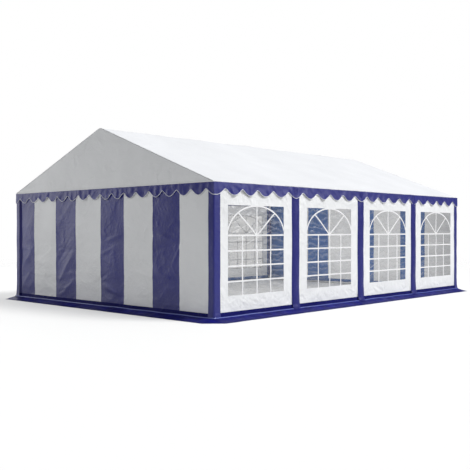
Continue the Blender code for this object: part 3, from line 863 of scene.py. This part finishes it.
def make_crease_bead():
    """The welded bead along the flaps' crease, which runs round the tent and catches the light; its lighter blue is a
    painted highlight as well.
    """
    out = WALL_OUT + 0.024
    loop = []
    for wall in ("front", "east", "back", "west"):
        end = WALLS[wall]["half"] + out - BEAD_BEND
        spots = np.linspace(-end, end, 120)
        free = easing(end - np.abs(spots), 0.2)
        height = CREASE_Z + 0.010 + billow(spots, 0, 601, 0.7, 0.002) * free
        loop.append(np.stack(on_wall(wall, spots, height, out + billow(spots, 0, 602, 0.5, 0.003) * free), axis=-1))
        turns = np.linspace(0, math.pi / 2, 8)[1:-1]
        beside = out - BEAD_BEND * (1 - np.cos(turns))
        loop.append(np.stack(on_wall(wall, end + BEAD_BEND * np.sin(turns), CREASE_Z + 0.010, beside), axis=-1))
    tube("crease_bead", np.concatenate(loop), 0.013, BEAD_PAINTED_HIGHLIGHT_BLUE, closed=True)


def make_eave_welts():
    """White welted seams along the top of the gable valances."""
    for wall in ("west", "east"):
        half = WALLS[wall]["half"] - 0.004
        spots = np.linspace(-half, half, 60)
        line = np.stack(on_wall(wall, spots, EAVE_Z + 0.004 + 0 * spots, 0.001), axis=-1)
        tube(f"eave_welt_{wall}", line, 0.008, WELT_WHITE)


def dress_frame():
    """The steel tubes keep their solids and get a zinc finish."""
    for name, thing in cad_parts.items():
        if name.startswith(("frame_portal", "eave_rail", "ridge_rail", "ground_bar")):
            thing.data.materials.clear()
            thing.data.materials.append(STEEL)
            for face in thing.data.polygons:
                face.use_smooth = True
            thing.data.set_sharp_from_angle(angle=math.radians(50))


# Studio

def floor_piece(name, corners, height):
    """A flat piece of pale floor, with its object, node tree, shader and place for the rest of its material."""
    mesh = bpy.data.meshes.new(name)
    mesh.from_pydata([(x, y, height) for x, y in corners], [], [tuple(range(len(corners)))])
    piece = bpy.data.objects.new(name, mesh)
    bpy.context.scene.collection.objects.link(piece)
    made, tree, shader, place = new_material(name)
    shader.inputs["Base Color"].default_value = FLOOR_COLOUR
    shader.inputs["Roughness"].default_value = 0.9
    mesh.materials.append(made)
    return tree, shader, place


def make_floor():
    """A pale floor that fades into the white round it, and a plain piece of it under the tent."""
    inside = [(x * (HALF_LENGTH + 0.1), y * (HALF_WIDTH + 0.1)) for x, y in ((-1, -1), (1, -1), (1, 1), (-1, 1))]
    floor_piece("floor_inside", inside, 0.0008)
    turns = [2 * math.pi * i / 96 for i in range(96)]
    tree, shader, place = floor_piece("floor", [(60 * math.cos(turn), 60 * math.sin(turn)) for turn in turns], 0.0)
    away = node(tree, "ShaderNodeVectorMath", operation="LENGTH")
    tree.links.new(place, away.inputs[0])
    fade = node(tree, "ShaderNodeMapRange", interpolation_type="SMOOTHSTEP")
    for name, value in (("From Min", 7.0), ("From Max", 24.0), ("To Min", 0.6), ("To Max", 0.0)):
        fade.inputs[name].default_value = value
    tree.links.new(away.outputs["Value"], fade.inputs["Value"])
    tree.links.new(fade.outputs["Result"], shader.inputs["Alpha"])


def make_light(name, kind, place, aim, energy, size, colour=(1, 1, 1)):
    data = bpy.data.lights.new(name, kind)
    data.energy = energy
    data.color = colour
    if kind == "SUN":
        data.angle = size
    else:
        data.shape = "RECTANGLE"
        data.size, data.size_y = size
    lamp = bpy.data.objects.new(name, data)
    lamp.location = place
    lamp.rotation_euler = (Vector(aim) - Vector(place)).to_track_quat("-Z", "Y").to_euler()
    bpy.context.scene.collection.objects.link(lamp)
    return lamp


def make_studio():
    make_floor()
    world = bpy.data.worlds.new("studio")
    bpy.context.scene.world = world
    world.use_nodes = True
    tree = world.node_tree
    white = tree.nodes["Background"]
    white.inputs["Color"].default_value = (1.0, 1.0, 1.0, 1.0)
    white.inputs["Strength"].default_value = 1.0
    soft = node(tree, "ShaderNodeBackground")
    soft.inputs["Strength"].default_value = 1.0
    height = node(tree, "ShaderNodeSeparateXYZ")
    tree.links.new(node(tree, "ShaderNodeTexCoord").outputs["Generated"], height.inputs[0])
    sky = node(tree, "ShaderNodeValToRGB")
    while len(sky.color_ramp.elements) < len(SKY):
        sky.color_ramp.elements.new(0.5)
    for stop, (position, grey) in zip(sky.color_ramp.elements, SKY):
        stop.position = position
        stop.color = (0.97 * grey, 0.98 * grey, grey, 1.0)
    tree.links.new(height.outputs["Z"], sky.inputs["Fac"])
    tree.links.new(sky.outputs["Color"], soft.inputs["Color"])
    path = node(tree, "ShaderNodeLightPath")
    mix = node(tree, "ShaderNodeMixShader")
    tree.links.new(path.outputs["Is Camera Ray"], mix.inputs["Fac"])
    tree.links.new(soft.outputs["Background"], mix.inputs[1])
    tree.links.new(white.outputs["Background"], mix.inputs[2])
    tree.links.new(mix.outputs["Shader"], tree.nodes["World Output"].inputs["Surface"])
    make_light("key", "SUN", (4.5, -8.5, 12.0), (0, 0, 1), KEY, math.radians(22))
    make_light("side", "AREA", (-10.0, 13.0, 3.0), (-4, 1.5, 1.2), SIDE, (6.5, 5.5))
    make_light("front", "AREA", (6.6, -11.0, 4.8), (-1.5, -2.9, 1.5), FRONT, (4.5, 4.0))
    make_light("back", "AREA", (3.0, 13.0, 4.5), (0, 2.9, 1.2), BACK, (6.0, 4.0))
    inside = make_light("inside", "AREA", (0, 0, 0.06), (0, 0, 2), INSIDE, (7.4, 5.0))
    bounce = make_light("bounce", "AREA", (-0.5, -2.5, 1.55), (-0.5, 2.8, 1.9), BOUNCE, (5.0, 0.9))
    for lamp in (inside, bounce):
        lamp.visible_camera = False
    bpy.context.scene.view_settings.view_transform = "Standard"
    bpy.context.scene.view_settings.look = "None"


FLOOR_COLOUR = (0.92, 0.92, 0.91, 1.0)
SKY = ((0.0, 0.20), (0.22, 0.22), (0.50, 0.46), (1.0, 0.62))
KEY = 2.50
SIDE = 200.0
FRONT = 165.0
BACK = 260.0
INSIDE = 86.0
BOUNCE = 36.0

# The photograph's view, worked out from its perspective
CAMERA_PLACE = (-11.869, -10.651, 1.400)
CAMERA_PITCH = 89.612
CAMERA_YAW = -46.906
CAMERA_LENS = 55.97


def make_camera():
    data = bpy.data.cameras.new("camera")
    data.sensor_width = 36.0
    data.lens = CAMERA_LENS
    camera = bpy.data.objects.new("camera", data)
    camera.location = CAMERA_PLACE
    camera.rotation_euler = (math.radians(CAMERA_PITCH), 0.0, math.radians(CAMERA_YAW))
    bpy.context.scene.collection.objects.link(camera)
    bpy.context.scene.camera = camera


make_camera()
make_studio()
make_roof()
make_gable_triangles()
make_valances()
make_gable_walls()
for long_wall in ("front", "back"):
    for bay_index in range(BAYS):
        make_panel(long_wall, bay_index)
        make_film(long_wall, bay_index)
make_post_covers()
make_corner_covers()
make_post_sleeves()
make_wall_bands()
make_skirts()
make_crease_bead()
make_eave_welts()
dress_frame()
